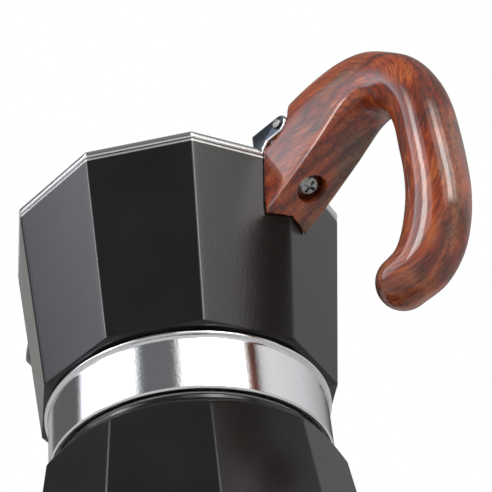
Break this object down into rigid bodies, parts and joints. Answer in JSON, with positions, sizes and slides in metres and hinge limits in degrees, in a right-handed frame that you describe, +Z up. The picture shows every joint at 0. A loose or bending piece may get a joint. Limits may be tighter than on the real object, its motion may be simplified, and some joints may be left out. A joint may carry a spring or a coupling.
{
  "type": "stovetop moka pot",
  "caption": "Ten-sided stovetop coffee maker with a flared boiler, polished band, hinged lid, side spout and a curled wood-effect handle.",
  "frame": {"origin": "centre of the boiler's flat base, on the surface it stands on", "axes": "+Z up along the pot's axis, +X towards the handle, -X towards the spout, +Y towards the safety valve"},
  "size_m": [0.1848, 0.1102, 0.1986],
  "materials": {
    "black_paint": "satin black coating",
    "polished_aluminium": "mirror polished",
    "cast_aluminium": "fine machined and tumbled",
    "brass": "turned",
    "steel": "bright plated",
    "rubber": "matte silicone",
    "fibre": "matte fibre",
    "rosewood": "rosewood pattern under clear gloss"
  },
  "bodies": {
    "base": {"boiler": "black_paint", "valve_body": "brass", "valve_washer": "fibre", "valve_cap": "brass", "valve_spring": "steel"},
    "poppet": {"valve_poppet": "steel"},
    "funnel": {"funnel": "cast_aluminium", "funnel_plate": "cast_aluminium"},
    "gasket": {"gasket": "rubber"},
    "filter": {"filter_plate": "cast_aluminium"},
    "jug": {"jug": "black_paint", "collar_band": "polished_aluminium", "column": "cast_aluminium", "handle": "rosewood", "handle_screw": "steel", "hinge_pin": "steel"},
    "lid": {"lid": "polished_aluminium", "knob": "rosewood", "knob_screw": "steel", "knob_washer": "steel"}
  },
  "joints": [
    {"name": "valve_lift", "type": "slide", "parent": "base", "child": "poppet", "axis": [0, 1, 0], "range_m": [0, 0.0015], "stiffness_N_per_m": 60, "springref_m": -0.003},
    {"name": "funnel_lift_out", "type": "slide", "parent": "base", "child": "funnel", "axis": [0, 0, 1], "range_m": [0, 0.088]},
    {"name": "jug_lift_off", "type": "slide", "parent": "funnel", "child": "gasket", "axis": [0, 0, 1], "range_m": [0, 0.05]},
    {"name": "jug_thread_rise", "type": "slide", "parent": "gasket", "child": "filter", "axis": [0, 0, 1], "range_m": [0, 0.00525]},
    {"name": "jug_turn", "type": "hinge", "parent": "filter", "child": "jug", "pos_m": [0, 0, 0.1], "axis": [0, 0, 1], "range_deg": [0, 630]},
    {"name": "lid_hinge", "type": "hinge", "parent": "jug", "child": "lid", "pos_m": [0.055, 0, 0.1716], "axis": [0, 1, 0], "range_deg": [0, 100]}
  ],
  "couplings": [
    {"joint": "jug_thread_rise", "follows": "jug_turn", "m_per_rad": 0.00047746}
  ]
}
